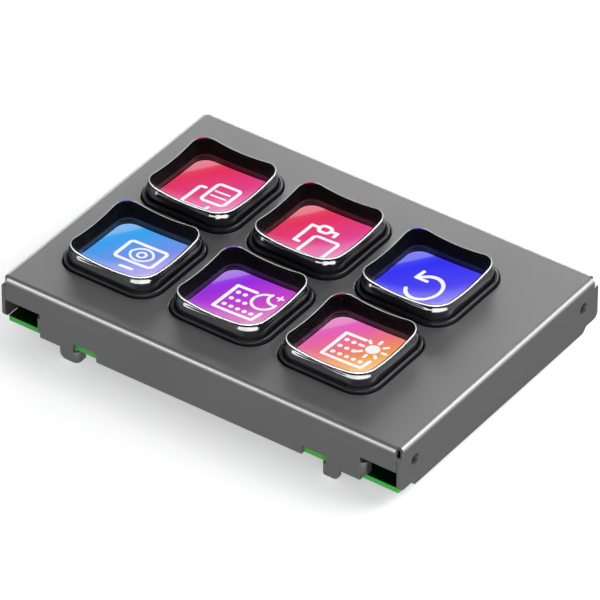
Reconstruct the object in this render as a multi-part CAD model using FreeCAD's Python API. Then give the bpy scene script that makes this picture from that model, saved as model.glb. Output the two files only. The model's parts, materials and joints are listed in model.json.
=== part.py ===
import FreeCAD, Part
import math
import os
from FreeCAD import Vector

# A built-in keypad of six clear keys over one display, in a folded steel tray.
# Millimetres, +Z up. The origin is on the surface that the tray's four tabs stand on, under the
# middle of the tray. X runs along the side with three keys, Y from the front flange to the rear.

# Keys: three columns and two rows, set to the left and a little forward on the plate
columns = 3
rows = 2
key_width = 17.8
key_gap = 5.1                # between neighbouring keys
left_margin = 6.3            # plate beside and beyond the block of keys
right_margin = 14.1
front_margin = 9.45
rear_margin = 9.85
key_corner = 3.2
key_rim = 2.9                # middle of a key's side, above the plate
dish_radius = 36.0
lens_lip = 0.25              # clear edge over the black shell
shell_wall = 0.45
shell_flare = 0.38           # how much wider the shell's foot is than its rim, each side
flare_bottom = 1.3           # above the plate
flare_top = 2.35
bond_gap = 0.02
key_flange = 0.6
key_flange_reach = 0.37
key_travel = 0.9
lens_gap = 0.2               # lens to glass with the key pressed home

# Top cover: the sheet, its folds and its outline
sheet = 0.7
bend_radius = 1.0            # outside of every fold
flange_depth = 9.75          # from the plate's top to the flanges' lower edge
tab_reach = 2.25             # how far the tabs go below the flanges
corner_relief = 1.1          # length of fold left out at each corner
relief_depth = 1.9
seam = 0.08                  # gap between a long flange's end and the side flange
overrun = 1.0                # how far every cut runs past what it cuts

# Top cover: windows, tabs and inward wings of the two long flanges, measured from the middle
port_window_start = 21.7
port_window_height = 1.75
tab_start = 25.7             # outer face of the tab's wing
tab_width = 3.8
tab_corner = 1.3
tab_wing_reach = 2.4
corner_wing_face = 34.8
corner_wing_reach = 2.0
corner_window_drop = 4.8     # below the plate's top
wing_relief = 1.1            # gap over a corner wing

# Top cover: the side flanges' stepped ends and their two threaded holes
step_length = 3.4
step_height = 1.0
step_slope = 1.1
side_corner = 1.2
side_hole_radius = 1.1
side_hole_spacing = 51.0
side_hole_drop = 4.3         # below the plate's top
burr_wall = 0.4
burr_length = 1.0
side_hole_chamfer = 0.12

# Guide frame: collars through the plate, pockets for the key flanges, ribs and bosses
seat_gap = 0.05
key_clearance = 0.08
collar_wall = 0.72
collar_clearance = 0.2
collar_height = 0.7
collar_bevel = 0.4
frame_height = 2.0
frame_web = 0.9
frame_ledge = 0.3
pocket_clearance = 0.1
pocket_wall = 1.2
frame_margin = 0.4
frame_corner = 1.6
frame_rib = 1.0
frame_end_ribs = 4
boss_wall = 1.0

# Return boots: a soft square bellows under each key flange
boot_wall = 0.45
boot_lean = 0.3
boot_gap = 0.03

# Contact board, gasket and display
contact_board = 0.5
contact_margin = 1.6
window_clearance = 0.15
gasket = 0.3
gasket_width = 1.0
glass = 1.1
glass_margin = 1.5
glass_corner = 0.6
light_guide = 1.1
tray_sheet = 0.25
tray_clearance = 0.05
tray_edge_drop = 0.2

# Display carrier: a moulded plate with a locating rim
carrier_plate = 0.8
carrier_rim_wall = 1.0
carrier_rim_height = 1.4
carrier_rim_clearance = 0.1
carrier_side_clearance = 0.3
carrier_corner = 2.0
carrier_hole_radius = 3.0

# Posts, spacers and screws in two rows of three
post_end_inset = 11.5        # from the cover's ends
post_margin_share = 4 / 9    # how far into the front margin the rows stand
post_radius = 1.8
post_clearance = 0.15
post_bore = 1.0
post_bore_depth = 3.5
row_bar_margin = 0.8
screw_radius = 0.95
screw_hole = 1.1
screw_engagement = 3.0
screw_head_radius = 1.9
screw_head_height = 1.2
screw_head_bevel = 0.4
screw_socket_radius = 0.85
screw_socket_depth = 0.7

# Main board
board = 1.0
board_lift = 0.05            # above the flanges' lower edge
board_end_margin = 0.8
board_side_margin = 0.8
board_corner = 0.2

# Round-ended socket at the main board's rear edge
socket_x = 12.0
socket_width = 8.94
socket_height = 3.26
socket_length = 7.35
socket_wall = 0.3
socket_round_share = 0.96
socket_clearance = 0.25
socket_ear_reach = 1.2
socket_ear = 0.3
socket_ear_length = 4.0
tongue_width = 6.7
tongue_height = 0.7
tongue_setback = 0.8
socket_back = 1.5
flange_notch_clearance = 0.5

# Flat ribbons and their sockets at the right-hand end
ribbon = 0.15
ribbon_bend = 1.0
ribbon_run = 3.6             # from the display's edge to the upright run
display_ribbon_width = 16.0
display_ribbon_y = -5.0
contact_ribbon_width = 8.0
contact_ribbon_y = 14.0
ribbon_clearance = 0.1
ribbon_entry = 0.6           # above the board
ribbon_insert = 1.5
ribbon_socket_gap = 1.2
ribbon_socket_depth = 4.0
ribbon_socket_height = 1.2
ribbon_socket_end = 1.2
ribbon_latch = 1.1
ribbon_latch_step = 0.25

# Parts soldered on the main board
chip_lift = 0.1
chip_size = 10.0
chip_height = 1.3
chip_lead_count = 12
chip_lead_pitch = 0.8
memory_length = 5.8
memory_width = 4.0
memory_lead_count = 4
memory_lead_pitch = 1.27
regulator_length = 2.9
regulator_width = 1.6
regulator_lead_count = 3
regulator_lead_pitch = 0.95
small_chip_height = 1.1
lead_width = 0.35
lead_sheet = 0.15
lead_reach = 0.9
crystal_length = 3.2
crystal_width = 2.5
crystal_height = 0.8
crystal_corner = 0.4
coil_size = 4.0
coil_height = 1.5
coil_corner = 0.7
capacitor_length = 1.6
capacitor_width = 0.8
capacitor_end = 0.35
capacitor_end_step = 0.04

# Places on the main board, as shares of its half length and half width
controller_share = (-0.30, 0.02)
memory_share = (0.08, 0.24)
regulator_share = (0.36, -0.30)
crystal_share = (-0.30, 0.38)
coil_share = (0.52, -0.31)
capacitor_shares = [
    (-0.50, 0.24), (-0.50, 0.10), (-0.50, -0.06), (-0.50, -0.20),
    (-0.12, 0.22), (-0.12, 0.10), (-0.12, -0.10), (-0.12, -0.22),
    (-0.38, -0.34), (-0.26, -0.34), (0.24, 0.36), (0.24, 0.24),
    (0.28, -0.44), (0.40, -0.44), (0.52, -0.46), (0.64, -0.31),
]

# The cover round the block of keys
key_pitch = key_width + key_gap
block_half_x = key_pitch * (columns - 1) / 2
block_half_y = key_pitch * (rows - 1) / 2
cover_length = 2 * block_half_x + key_width + left_margin + right_margin
cover_width = 2 * block_half_y + key_width + front_margin + rear_margin
half_length = cover_length / 2
half_width = cover_width / 2
key_block_x = (left_margin - right_margin) / 2
key_block_y = (front_margin - rear_margin) / 2
post_spacing_x = half_length - post_end_inset
post_row_y = half_width - front_margin * post_margin_share

# Levels
flange_bottom = tab_reach
plate_top = flange_bottom + flange_depth
plate_under = plate_top - sheet
fold_level = plate_top - bend_radius
frame_top = plate_under - seat_gap
frame_bottom = frame_top - frame_height
pocket_top = frame_top - frame_ledge
key_flange_top = pocket_top - seat_gap
key_flange_under = key_flange_top - key_flange
contact_bottom = frame_bottom - contact_board
glass_top = contact_bottom - gasket
glass_bottom = glass_top - glass
tray_floor = glass_bottom - light_guide
carrier_top = tray_floor - tray_sheet
carrier_bottom = carrier_top - carrier_plate
board_bottom = flange_bottom + board_lift
board_top = board_bottom + board
lens_bottom = glass_top + key_travel + lens_gap

# Half widths around a key
key_half = key_width / 2
lens_half = key_half - shell_wall
lens_corner = key_corner - shell_wall
foot_half = key_half + shell_flare
foot_corner = key_corner + shell_flare
collar_inner = foot_half + key_clearance
collar_outer = collar_inner + collar_wall
key_hole_half = collar_outer + collar_clearance
key_flange_half = foot_half + key_flange_reach
pocket_half = key_flange_half + pocket_clearance
window_half = lens_half + window_clearance
window_corner = lens_corner + window_clearance

# Half sizes of the display and of what holds it
glass_half_x = block_half_x + window_half + glass_margin
glass_half_y = block_half_y + window_half + glass_margin
tray_half_x = glass_half_x + tray_clearance + tray_sheet
tray_half_y = glass_half_y + tray_clearance + tray_sheet
contact_half_x = glass_half_x + contact_margin
carrier_half_x = tray_half_x + carrier_rim_clearance + carrier_rim_wall
carrier_half_y = half_width - corner_wing_reach - carrier_side_clearance
frame_half_x = half_length - sheet - frame_margin
frame_half_y = half_width - sheet - frame_margin
board_half_x = half_length - board_end_margin
board_half_y = half_width - board_side_margin
ribbon_x = key_block_x + glass_half_x + ribbon_run
ribbon_socket_x = ribbon_x + ribbon_bend + ribbon_socket_gap


def key_places():
    """Centres of the keys, the rear row first and each row from the left."""
    places = []
    for row in range(rows):
        for column in range(columns):
            x = key_block_x - block_half_x + key_pitch * column
            y = key_block_y + block_half_y - key_pitch * row
            places.append((x, y))
    return places


def post_places():
    return [(post_spacing_x * i, post_row_y * j) for j in (-1, 1) for i in (-1, 0, 1)]


def slab(x0, x1, y0, y1, z0, z1):
    return Part.makeBox(x1 - x0, y1 - y0, z1 - z0, Vector(x0, y0, z0))


def rod(x, y, z0, z1, radius):
    return Part.makeCylinder(radius, z1 - z0, Vector(x, y, z0))


def rounded_prism(x, y, half_x, half_y, corner, z0, z1):
    """An upright block whose four corners are tangent arcs."""
    edges = []
    previous = None
    first = None
    for sx, sy in ((1, 1), (-1, 1), (-1, -1), (1, -1)):
        centre = Vector(x + sx * (half_x - corner), y + sy * (half_y - corner), z0)
        out_x, out_y = Vector(sx * corner, 0, 0), Vector(0, sy * corner, 0)
        start, end = (out_x, out_y) if sx * sy > 0 else (out_y, out_x)
        if previous:
            edges.append(Part.makeLine(previous, centre + start))
        middle = (out_x + out_y) * math.sqrt(1 / 2)
        edges.append(Part.Arc(centre + start, centre + middle, centre + end).toShape())
        first = first or centre + start
        previous = centre + end
    edges.append(Part.makeLine(previous, first))
    return Part.Face(Part.Wire(edges)).extrude(Vector(0, 0, z1 - z0))


def square_prism(place, half, corner, z0, z1):
    return rounded_prism(place[0], place[1], half, half, corner, z0, z1)


def leaning_prism(low_half, low_corner, z0, high_half, high_corner, z1):
    """An upright square block at the origin whose sides lean from one size to another."""
    low = square_prism((0, 0), low_half, low_corner, z0, z1)
    high = square_prism((0, 0), high_half, high_corner, z0, z1)
    middle = (z0 + z1) / 2
    low_edges = [e for e in low.Edges if e.BoundBox.ZMax < middle]
    high_edges = [e for e in high.Edges if e.BoundBox.ZMin > middle]
    wires = [Part.Wire(Part.sortEdges(edges)[0]) for edges in (low_edges, high_edges)]
    return Part.makeLoft(wires, True, True)


def fused(shapes):
    return shapes[0].multiFuse(shapes[1:]).removeSplitter()


def cut_all(shape, tools):
    return shape.cut(Part.makeCompound(tools))


def edges_near(shape, axis, near):
    """Straight edges along one axis whose middle passes the test."""
    found = []
    for edge in shape.Edges:
        if edge.Curve.TypeId != "Part::GeomLine":
            continue
        direction = edge.tangentAt(edge.FirstParameter)
        if abs(direction.dot(axis)) > 0.99 and near(edge.CenterOfMass):
            found.append(edge)
    return found


def save(shape, name):
    solids = shape.Solids
    shape = solids[0] if len(solids) == 1 else Part.makeCompound(solids)
    shape.exportStep("parts/" + name + ".step")
    print(name, len(solids), "solids", round(shape.Volume, 2), "mm3")


def fold(centre, first, second, along):
    """A quarter fold of the sheet round an axis through centre, from one direction to another."""
    diagonal = (first + second) * math.sqrt(1 / 2)
    outer = [centre + way * bend_radius for way in (first, diagonal, second)]
    inner = [centre + way * (bend_radius - sheet) for way in (second, diagonal, first)]
    edges = [Part.Arc(*outer).toShape(), Part.makeLine(outer[2], inner[0]),
             Part.Arc(*inner).toShape(), Part.makeLine(inner[2], outer[0])]
    return Part.Face(Part.Wire(edges)).extrude(along)


def wing(face_x, outward, reach, z0, z1):
    """A wing folded inwards from the front flange. Its outer face is at face_x and looks outward."""
    front = -half_width
    centre = Vector(face_x - outward * bend_radius, front + bend_radius, z0)
    bend = fold(centre, Vector(outward, 0, 0), Vector(0, -1, 0), Vector(0, 0, z1 - z0))
    near, far = sorted((face_x - outward * sheet, face_x))
    flat = slab(near, far, front + bend_radius, front + reach, z0, z1)
    return [bend, flat]


def long_flange():
    """The front flange below its fold, with its windows, tabs and wings."""
    front, back = -half_width, -half_width + sheet
    end = half_length - sheet - seam
    tab_flat = tab_start + bend_radius
    tab_end = tab_start + tab_width
    corner_flat = corner_wing_face - bend_radius
    corner_window_top = plate_top - corner_window_drop
    port_window_top = flange_bottom + port_window_height
    flat = slab(-end, end, front, back, flange_bottom, fold_level)
    cuts = []
    added = []
    for side in (-1, 1):
        x0, x1 = sorted((side * port_window_start, side * tab_flat))
        cuts.append(slab(x0, x1, front - overrun, back + overrun, flange_bottom - overrun, port_window_top))
        x0, x1 = sorted((side * corner_flat, side * (end + overrun)))
        cuts.append(slab(x0, x1, front - overrun, back + overrun,
                         flange_bottom - overrun, corner_window_top))
        x0, x1 = sorted((side * (half_length - corner_relief), side * (end + overrun)))
        cuts.append(slab(x0, x1, front - overrun, back + overrun, plate_top - relief_depth, plate_top))
        x0, x1 = sorted((side * tab_flat, side * tab_end))
        tab = slab(x0, x1, front, back, 0, port_window_top)
        lower = edges_near(tab, Vector(0, 1, 0),
                           lambda p: abs(p.x - side * tab_end) < sheet and p.z < sheet)
        added.append(tab.makeFillet(tab_corner, lower))
        added += wing(side * tab_start, -side, tab_wing_reach, 0, board_bottom - board_lift)
        added += wing(side * corner_wing_face, side, corner_wing_reach, board_top + board_lift,
                      corner_window_top - wing_relief)
    return fused([cut_all(flat, cuts)] + added)


def side_flange():
    """The right-hand flange below its fold: stepped ends and two holes with inward threaded burrs."""
    inner, outer = half_length - sheet, half_length
    level = plate_top - side_hole_drop
    step_level = flange_bottom + step_height
    flat = slab(inner, outer, -half_width, half_width, flange_bottom, fold_level)
    for side in (-1, 1):
        end = side * half_width
        step_end = end - side * step_length
        slope_end = step_end - side * step_slope
        outline = [(end + side * overrun, flange_bottom - overrun), (end + side * overrun, step_level),
                   (step_end, step_level), (slope_end, flange_bottom), (slope_end, flange_bottom - overrun)]
        points = [Vector(inner - overrun, y, z) for y, z in outline]
        notch = Part.Face(Part.makePolygon(points + points[:1]))
        flat = flat.cut(notch.extrude(Vector(sheet + 2 * overrun, 0, 0)))
        lower = edges_near(flat, Vector(1, 0, 0),
                           lambda p: abs(p.y - end) < sheet and abs(p.z - step_level) < sheet)
        flat = flat.makeFillet(side_corner, lower)
        y0, y1 = sorted((side * (half_width - corner_relief), side * (half_width + overrun)))
        flat = flat.cut(slab(inner - overrun, outer + overrun, y0, y1, plate_top - relief_depth, plate_top))
    inward = Vector(-1, 0, 0)
    burrs = []
    bores = []
    for side in (-1, 1):
        mouth = Vector(outer, side * side_hole_spacing / 2, level)
        burrs.append(Part.makeCylinder(side_hole_radius + burr_wall, sheet + burr_length, mouth, inward))
        bores.append(Part.makeCylinder(side_hole_radius, sheet + burr_length + 2 * overrun,
                                       mouth - inward * overrun, inward))
        bores.append(Part.makeCone(side_hole_radius + side_hole_chamfer, side_hole_radius,
                                   side_hole_chamfer, mouth, inward))
    return cut_all(fused([flat] + burrs), bores)


def top_cover():
    up = Vector(0, 0, 1)
    plate = slab(-half_length + bend_radius, half_length - bend_radius,
                 -half_width + bend_radius, half_width - bend_radius, plate_under, plate_top)
    corner = foot_corner + key_clearance + collar_wall + collar_clearance
    low, high = plate_under - overrun, plate_top + overrun
    plate = cut_all(plate, [square_prism(place, key_hole_half, corner, low, high) for place in key_places()])
    front_fold = fold(Vector(-half_length + corner_relief, -half_width + bend_radius, fold_level),
                      Vector(0, -1, 0), up, Vector(cover_length - 2 * corner_relief, 0, 0))
    side_fold = fold(Vector(half_length - bend_radius, -half_width + corner_relief, fold_level),
                     Vector(1, 0, 0), up, Vector(0, cover_width - 2 * corner_relief, 0))
    front = fused([front_fold, long_flange()])
    right = fused([side_fold, side_flange()])
    origin = Vector(0, 0, 0)
    rear = front.mirror(origin, Vector(0, 1, 0))
    left = right.mirror(origin, Vector(1, 0, 0))
    notch_half = socket_width / 2 + flange_notch_clearance
    notch_top = (board_top + board_bottom) / 2 + socket_height / 2 + flange_notch_clearance
    rear = rear.cut(slab(socket_x - notch_half, socket_x + notch_half, half_width - sheet - overrun,
                         half_width + overrun, flange_bottom - overrun, notch_top))
    return fused([plate, front, rear, left, right])


def guide_frame():
    """The moulded frame behind the plate: six collars, their pockets, edge ribs and post bosses."""
    web = rounded_prism(0, 0, frame_half_x, frame_half_y, frame_corner, frame_top - frame_web, frame_top)
    edge = rounded_prism(0, 0, frame_half_x, frame_half_y, frame_corner, frame_bottom, frame_top)
    edge_bore = rounded_prism(0, 0, frame_half_x - frame_rib, frame_half_y - frame_rib,
                              frame_corner - frame_rib, frame_bottom - overrun, frame_top + overrun)
    added = [web, edge.cut(edge_bore)]
    cuts = []
    collar_corner = foot_corner + key_clearance + collar_wall
    pocket_corner = foot_corner + key_flange_reach + pocket_clearance
    for place in key_places():
        collar = square_prism(place, collar_outer, collar_corner, frame_top - frame_web,
                              plate_top + collar_height)
        rims = [e for e in collar.Edges if e.BoundBox.ZMin > plate_top]
        added.append(collar.makeChamfer(collar_bevel, rims))
        added.append(square_prism(place, pocket_half + pocket_wall, pocket_corner + pocket_wall,
                                  frame_bottom, frame_top))
        cuts.append(square_prism(place, pocket_half, pocket_corner, frame_bottom - overrun, pocket_top))
        cuts.append(square_prism(place, collar_inner, foot_corner + key_clearance,
                                 frame_bottom - overrun, plate_top + collar_height + overrun))
    for x, y in post_places():
        added.append(rod(x, y, frame_bottom, frame_top, post_radius + post_clearance + boss_wall))
        cuts.append(rod(x, y, frame_bottom - overrun, frame_top + overrun, post_radius + post_clearance))
    ribs_start = key_block_x + block_half_x + pocket_half
    for i in range(frame_end_ribs):
        y = frame_half_y * (2 * (i + 1) / (frame_end_ribs + 1) - 1)
        added.append(slab(ribs_start, frame_half_x - frame_rib / 2, y - frame_rib / 2, y + frame_rib / 2,
                          frame_bottom, frame_top))
    return cut_all(fused(added), cuts)


def dish(lowered):
    """The ball that hollows the top of a key at the origin, lowered by a given depth."""
    centre_level = plate_top + key_rim + math.sqrt(dish_radius ** 2 - key_half ** 2)
    ball = Part.makeSphere(dish_radius, Vector(0, 0, centre_level - lowered), Vector(0, 1, 0))
    return ball, centre_level


def key_shell():
    """The key's black shell: a flared square tube with a dished top edge and a retaining flange."""
    ball, blank_top = dish(lens_lip)
    flare_start, flare_end = plate_top + flare_bottom, plate_top + flare_top
    foot = square_prism((0, 0), foot_half, foot_corner, key_flange_under, flare_start)
    flare = leaning_prism(foot_half, foot_corner, flare_start, key_half, key_corner, flare_end)
    rim = square_prism((0, 0), key_half, key_corner, flare_end, blank_top)
    flange = square_prism((0, 0), key_flange_half, foot_corner + key_flange_reach,
                          key_flange_under, key_flange_top)
    bore = square_prism((0, 0), lens_half + bond_gap, lens_corner + bond_gap, key_flange_under - overrun,
                        blank_top + overrun)
    return fused([foot, flare, rim, flange]).cut(bore).cut(ball)


def key_lens():
    """The clear core of a key: faces hollowed alike above and below, and a thin lip over the shell."""
    lip_ball, blank_top = dish(lens_lip - bond_gap)
    upper_ball, centre_level = dish(0)
    lower_ball, centre_level = dish(centre_level - dish_radius - lens_bottom)
    core = square_prism((0, 0), lens_half, lens_corner, lens_bottom - overrun, blank_top)
    blank = square_prism((0, 0), key_half, key_corner, plate_top, blank_top)
    return fused([core.common(lower_ball), blank.common(lip_ball)]).cut(upper_ball)


def return_boot():
    """A soft square bellows, wider at its foot, under one key's flange."""
    foot = frame_bottom
    height = key_flange_under - boot_gap - foot
    wide = key_flange_half - boot_wall
    walls = []
    for inset in (0, boot_wall):
        low, high = wide - inset + boot_lean / 2, wide - inset - boot_lean / 2
        walls.append(leaning_prism(low, key_corner, foot, high, key_corner, foot + height))
    return walls[0].cut(walls[1])


def key_windows(z0, z1):
    return [square_prism(place, window_half, window_corner, z0, z1) for place in key_places()]


def contact_sheet():
    """The thin board of key contacts: a window under each key and a notch round each post."""
    body = rounded_prism(key_block_x, 0, contact_half_x, carrier_half_y, carrier_corner,
                         contact_bottom, frame_bottom)
    cuts = key_windows(contact_bottom - overrun, frame_bottom + overrun)
    cuts += [rod(x, y, contact_bottom - overrun, frame_bottom + overrun, post_radius + post_clearance)
             for x, y in post_places()]
    return cut_all(body, cuts)


def display_block(grow, z0, z1):
    return rounded_prism(key_block_x, key_block_y, glass_half_x + grow, glass_half_y + grow,
                         glass_corner + max(grow, 0), z0, z1)


def display_gasket():
    return display_block(0, glass_top, contact_bottom).cut(
        rounded_prism(key_block_x, key_block_y, glass_half_x - gasket_width, glass_half_y - gasket_width,
                      glass_corner, glass_top - overrun, contact_bottom + overrun))


def display_tray():
    """The steel tray round glass and light guide, open at the right for the ribbon."""
    outer = display_block(tray_clearance + tray_sheet, carrier_top, glass_top - tray_edge_drop)
    inner = display_block(tray_clearance, tray_floor, glass_top)
    half = display_ribbon_width / 2 + ribbon_clearance
    edge = key_block_x + glass_half_x
    notch = slab(edge - overrun, edge + tray_sheet + overrun,
                 display_ribbon_y - half, display_ribbon_y + half, glass_bottom, glass_top)
    return outer.cut(inner).cut(notch)


def display_carrier():
    """The moulded plate that the display lies in, with a locating rim and bars to the posts."""
    rim_bore = carrier_half_x - carrier_rim_wall
    rim_half_y = tray_half_y + carrier_rim_clearance + carrier_rim_wall
    plate = rounded_prism(key_block_x, 0, carrier_half_x, rim_half_y - key_block_y, carrier_corner,
                          carrier_bottom, carrier_top)
    rim = rounded_prism(key_block_x, key_block_y, carrier_half_x, rim_half_y,
                        glass_corner + carrier_rim_wall, carrier_bottom, carrier_top + carrier_rim_height)
    bore = rounded_prism(key_block_x, key_block_y, rim_bore, rim_half_y - carrier_rim_wall, glass_corner,
                         carrier_top, carrier_top + carrier_rim_height + overrun)
    added = [plate, rim.cut(bore)]
    bar_half_x = post_spacing_x + post_radius + row_bar_margin
    bar_half_y = (carrier_half_y - rim_half_y) / 2 + carrier_rim_wall
    for side in (-1, 1):
        added.append(rounded_prism(0, side * (carrier_half_y - bar_half_y), bar_half_x, bar_half_y,
                                   bar_half_y / 2, carrier_bottom, carrier_top))
    low, high = carrier_bottom - overrun, carrier_top + overrun
    cuts = [rod(x, y, low, high, screw_hole) for x, y in post_places()]
    cuts += [rod(x, y, low, high, carrier_hole_radius) for x, y in key_places()]
    edge = key_block_x + carrier_half_x
    half = display_ribbon_width / 2 + ribbon_clearance
    cuts.append(slab(edge - carrier_rim_wall - overrun, edge + overrun, display_ribbon_y - half,
                     display_ribbon_y + half, carrier_top, carrier_top + carrier_rim_height + overrun))
    return cut_all(fused(added), cuts)


def clinch_posts():
    """Blind threaded posts pressed into the plate's underside."""
    posts = []
    for x, y in post_places():
        post = rod(x, y, carrier_top, plate_under, post_radius)
        posts.append(post.cut(rod(x, y, carrier_top - overrun, carrier_top + post_bore_depth, post_bore)))
    return Part.makeCompound(posts)


def hexagon(x, y, z0, z1, radius):
    points = [Vector(x + radius * math.cos(a), y + radius * math.sin(a), z0)
              for a in [math.pi * i / 3 for i in range(7)]]
    return Part.Face(Part.makePolygon(points)).extrude(Vector(0, 0, z1 - z0))


def board_spacers():
    spacers = []
    for x, y in post_places():
        body = hexagon(x, y, board_top, carrier_bottom, post_radius)
        spacers.append(body.cut(rod(x, y, board_top - overrun, carrier_bottom + overrun, screw_hole)))
    return Part.makeCompound(spacers)


def board_screws():
    """Round-headed screws from below, with hexagon sockets."""
    screws = []
    head_bottom = board_bottom - screw_head_height
    for x, y in post_places():
        head = rod(x, y, head_bottom, board_bottom, screw_head_radius)
        lower = [e for e in head.Edges if e.BoundBox.ZMax < board_bottom - screw_head_height / 2]
        head = head.makeChamfer(screw_head_bevel, lower)
        shank = rod(x, y, board_bottom, carrier_top + screw_engagement, screw_radius)
        socket = hexagon(x, y, head_bottom - overrun, head_bottom + screw_socket_depth, screw_socket_radius)
        screws.append(fused([head, shank]).cut(socket))
    return Part.makeCompound(screws)


def main_board():
    """The green main board, notched at the rear for the socket."""
    body = rounded_prism(0, 0, board_half_x, board_half_y, board_corner, board_bottom, board_top)
    half = socket_width / 2 + socket_clearance
    cuts = [slab(socket_x - half, socket_x + half, half_width - socket_length - socket_clearance,
                 half_width + overrun, board_bottom - overrun, board_top + overrun)]
    cuts += [rod(x, y, board_bottom - overrun, board_top + overrun, screw_hole) for x, y in post_places()]
    return cut_all(body, cuts)


def ribbon_strip(x0, z0, y, width):
    """A flat ribbon that leaves (x0, z0), bends down, and bends again into its socket."""
    z1 = board_top + ribbon_entry
    x1 = ribbon_socket_x + ribbon_insert
    half = ribbon / 2
    upper = Vector(ribbon_x - ribbon_bend, y - width / 2, z0 - ribbon_bend)
    lower = Vector(ribbon_x + ribbon_bend, y - width / 2, z1 + ribbon_bend)
    right, up = Vector(1, 0, 0), Vector(0, 0, 1)
    diagonal = math.sqrt(1 / 2)

    def side(offset):
        outer, inner = ribbon_bend + offset, ribbon_bend - offset
        first = [upper + up * outer, upper + (up + right) * outer * diagonal, upper + right * outer]
        second = [lower - right * inner, lower - (up + right) * inner * diagonal, lower - up * inner]
        start = Vector(x0, y - width / 2, z0 + offset)
        end = Vector(x1, y - width / 2, z1 + offset)
        return start, end, [Part.makeLine(start, first[0]), Part.Arc(*first).toShape(),
                            Part.makeLine(first[2], second[0]), Part.Arc(*second).toShape(),
                            Part.makeLine(second[2], end)]

    start_a, end_a, edges_a = side(half)
    start_b, end_b, edges_b = side(-half)
    edges = edges_a + edges_b + [Part.makeLine(start_a, start_b), Part.makeLine(end_a, end_b)]
    wire = Part.Wire(Part.sortEdges(edges)[0])
    return Part.Face(wire).extrude(Vector(0, width, 0))


def ribbon_socket(y, width):
    """A low socket for a flat ribbon, with a stepped latch along its far side."""
    half = width / 2
    x0, x1 = ribbon_socket_x, ribbon_socket_x + ribbon_socket_depth
    top = board_top + ribbon_socket_height
    entry = board_top + ribbon_entry
    thick = ribbon / 2 + ribbon_clearance / 2
    body = slab(x0, x1, y - half - ribbon_socket_end, y + half + ribbon_socket_end, board_top, top)
    slot = slab(x0 - overrun, x0 + ribbon_insert, y - half - ribbon_clearance, y + half + ribbon_clearance,
                entry - thick, entry + thick)
    step = slab(x1 - ribbon_latch, x1 + overrun, y - half, y + half, top - ribbon_latch_step, top + overrun)
    return body.cut(slot).cut(step)


def along_y(shape, x, y, z):
    """Turns an upright shape to run along +Y and moves its start to a point."""
    shape.rotate(Vector(0, 0, 0), Vector(1, 0, 0), -90)
    shape.translate(Vector(x, y, z))
    return shape


def socket_oval(shrink, length):
    half_z = socket_height / 2 - shrink
    return rounded_prism(0, 0, socket_width / 2 - shrink, half_z, half_z * socket_round_share, 0, length)


def socket_shell():
    """The oval steel shell of the socket, with a soldering ear at each side."""
    start = half_width - socket_length
    level = (board_top + board_bottom) / 2
    outer = along_y(socket_oval(0, socket_length), socket_x, start, level)
    ears = []
    for side in (-1, 1):
        near = socket_x + side * (socket_width - socket_wall) / 2
        far = socket_x + side * (socket_width / 2 + socket_ear_reach)
        x0, x1 = sorted((near, far))
        ears.append(slab(x0, x1, start + socket_back, start + socket_back + socket_ear_length,
                         board_top, board_top + socket_ear))
    bore = along_y(socket_oval(socket_wall, socket_length + 2 * overrun), socket_x, start - overrun, level)
    return fused([outer] + ears).cut(bore)


def socket_tongue():
    """The socket's insulator: a plug that closes its back, with the contact tongue in front."""
    start = half_width - socket_length
    level = (board_top + board_bottom) / 2
    back = along_y(socket_oval(socket_wall + bond_gap, socket_back), socket_x, start, level)
    tongue = slab(socket_x - tongue_width / 2, socket_x + tongue_width / 2, start + socket_back / 2,
                  half_width - tongue_setback, level - tongue_height / 2, level + tongue_height / 2)
    return fused([back, tongue])


def place_on_board(share):
    return share[0] * board_half_x, share[1] * board_half_y


def chip_body(share, length, width, height):
    x, y = place_on_board(share)
    base = board_top + chip_lift
    return slab(x - length / 2, x + length / 2, y - width / 2, y + width / 2, base, base + height)


def lead_row(share, edge, count, pitch, height, turn):
    """A row of gull leads along one side of a chip, turned about the chip's centre."""
    outline = [(0, 0), (lead_reach, 0), (lead_reach, lead_sheet), (lead_sheet, lead_sheet),
               (lead_sheet, chip_lift + height / 2), (0, chip_lift + height / 2)]
    x, y = place_on_board(share)
    leads = []
    for i in range(count):
        start = (i - (count - 1) / 2) * pitch - lead_width / 2
        points = [Vector(edge + u, start, v) for u, v in outline]
        lead = Part.Face(Part.makePolygon(points + points[:1])).extrude(Vector(0, lead_width, 0))
        lead.rotate(Vector(0, 0, 0), Vector(0, 0, 1), turn)
        lead.translate(Vector(x, y, board_top))
        leads.append(lead)
    return leads


def chip_lead_group():
    leads = []
    for turn in (0, 90, 180, 270):
        leads += lead_row(controller_share, chip_size / 2, chip_lead_count, chip_lead_pitch,
                          chip_height, turn)
    for turn in (90, 270):
        leads += lead_row(memory_share, memory_width / 2, memory_lead_count, memory_lead_pitch,
                          small_chip_height, turn)
        leads += lead_row(regulator_share, regulator_width / 2, regulator_lead_count, regulator_lead_pitch,
                          small_chip_height, turn)
    return Part.makeCompound(leads)


def crystal_can():
    x, y = place_on_board(crystal_share)
    return rounded_prism(x, y, crystal_length / 2, crystal_width / 2, crystal_corner,
                         board_top, board_top + crystal_height)


def power_coil():
    return square_prism(place_on_board(coil_share), coil_size / 2, coil_corner,
                        board_top, board_top + coil_height)


def capacitors():
    """The ceramic bodies and their metal ends, as two groups."""
    bodies = []
    ends = []
    inner = capacitor_length / 2 - capacitor_end
    half = capacitor_width / 2
    body_half = half - capacitor_end_step
    top = board_top + capacitor_width
    for share in capacitor_shares:
        x, y = place_on_board(share)
        bodies.append(slab(x - inner, x + inner, y - body_half, y + body_half,
                           board_top + capacitor_end_step, top - capacitor_end_step))
        for x0 in (x - capacitor_length / 2, x + inner):
            ends.append(slab(x0, x0 + capacitor_end, y - half, y + half, board_top, top))
    return Part.makeCompound(bodies), Part.makeCompound(ends)


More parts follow.
